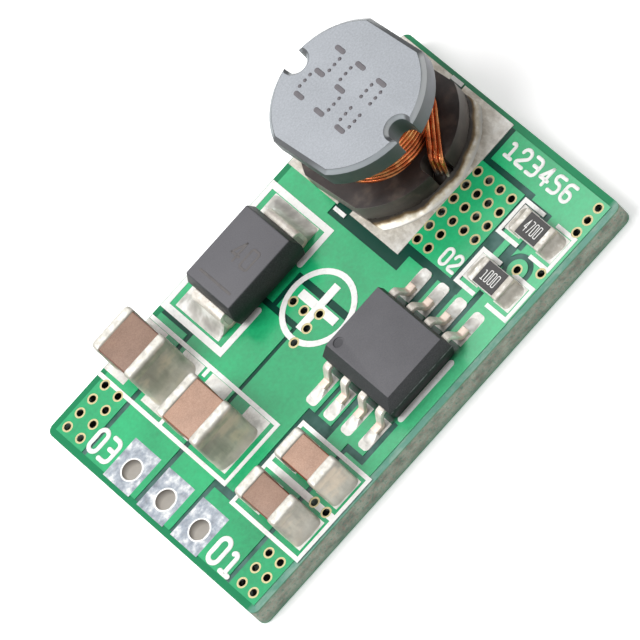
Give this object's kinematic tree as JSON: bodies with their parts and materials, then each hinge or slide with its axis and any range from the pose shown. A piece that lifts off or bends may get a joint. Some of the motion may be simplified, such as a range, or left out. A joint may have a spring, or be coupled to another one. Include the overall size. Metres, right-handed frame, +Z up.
{
  "type": "boost converter module",
  "caption": "Small two-sided circuit board that steps a voltage up, with a drum-core inductor, a rectifier diode, a controller and chip parts, and plated holes for header pins.",
  "frame": {"origin": "middle of the board's underside", "axes": "+X along the board from the terminal holes to the inductor, +Y across it to the edge beside the inductor and the diode, +Z up out of the side with the parts"},
  "size_m": [0.024, 0.0158, 0.0059],
  "materials": {
    "laminate": "cut glass-fibre laminate, matt",
    "mask_top": "glossy green mask over copper",
    "mask_bottom": "glossy green mask over copper",
    "legend": "white print",
    "via_plating": "plated and tinned",
    "tinned_land": "levelled tin",
    "solder": "reflowed solder",
    "ferrite": "ground ferrite, matt",
    "copper_wire": "enamelled copper",
    "moulding": "moulded epoxy",
    "lead_frame": "tinned lead frame",
    "capacitor_ceramic": "fired ceramic, satin",
    "end_cap": "tinned end cap",
    "alumina": "fired alumina",
    "overcoat": "black overglaze"
  },
  "bodies": {
    "root": {"circuit_board": "laminate", "copper_pour_top": "mask_top", "copper_pour_bottom": "mask_bottom", "silkscreen_legend": "legend", "via_barrels": "via_plating", "output_terminal": "tinned_land", "ground_terminal": "tinned_land", "input_terminal": "tinned_land", "solder_lands": "tinned_land", "inductor_core": "ferrite", "inductor_winding": "copper_wire", "inductor_lead_front": "copper_wire", "inductor_lead_back": "copper_wire", "inductor_electrode_front": "lead_frame", "inductor_electrode_back": "lead_frame", "diode_body": "moulding", "diode_cathode_lead": "lead_frame", "diode_anode_lead": "lead_frame", "controller_body": "moulding", "controller_lead_1": "lead_frame", "controller_lead_2": "lead_frame", "controller_lead_3": "lead_frame", "controller_lead_4": "lead_frame", "controller_lead_5": "lead_frame", "controller_lead_6": "lead_frame", "controller_lead_7": "lead_frame", "controller_lead_8": "lead_frame", "output_capacitor_1_body": "capacitor_ceramic", "output_capacitor_1_back_cap": "end_cap", "output_capacitor_1_front_cap": "end_cap", "output_capacitor_2_body": "capacitor_ceramic", "output_capacitor_2_back_cap": "end_cap", "output_capacitor_2_front_cap": "end_cap", "input_capacitor_1_body": "capacitor_ceramic", "input_capacitor_1_back_cap": "end_cap", "input_capacitor_1_front_cap": "end_cap", "input_capacitor_2_body": "capacitor_ceramic", "input_capacitor_2_back_cap": "end_cap", "input_capacitor_2_front_cap": "end_cap", "left_resistor_substrate": "alumina", "left_resistor_overcoat": "overcoat", "left_resistor_back_cap": "end_cap", "left_resistor_front_cap": "end_cap", "right_resistor_substrate": "alumina", "right_resistor_overcoat": "overcoat", "right_resistor_back_cap": "end_cap", "right_resistor_front_cap": "end_cap", "inductor_solder": "solder", "diode_solder": "solder", "controller_solder": "solder", "capacitor_solder": "solder", "resistor_solder": "solder"}
  },
  "joints": []
}
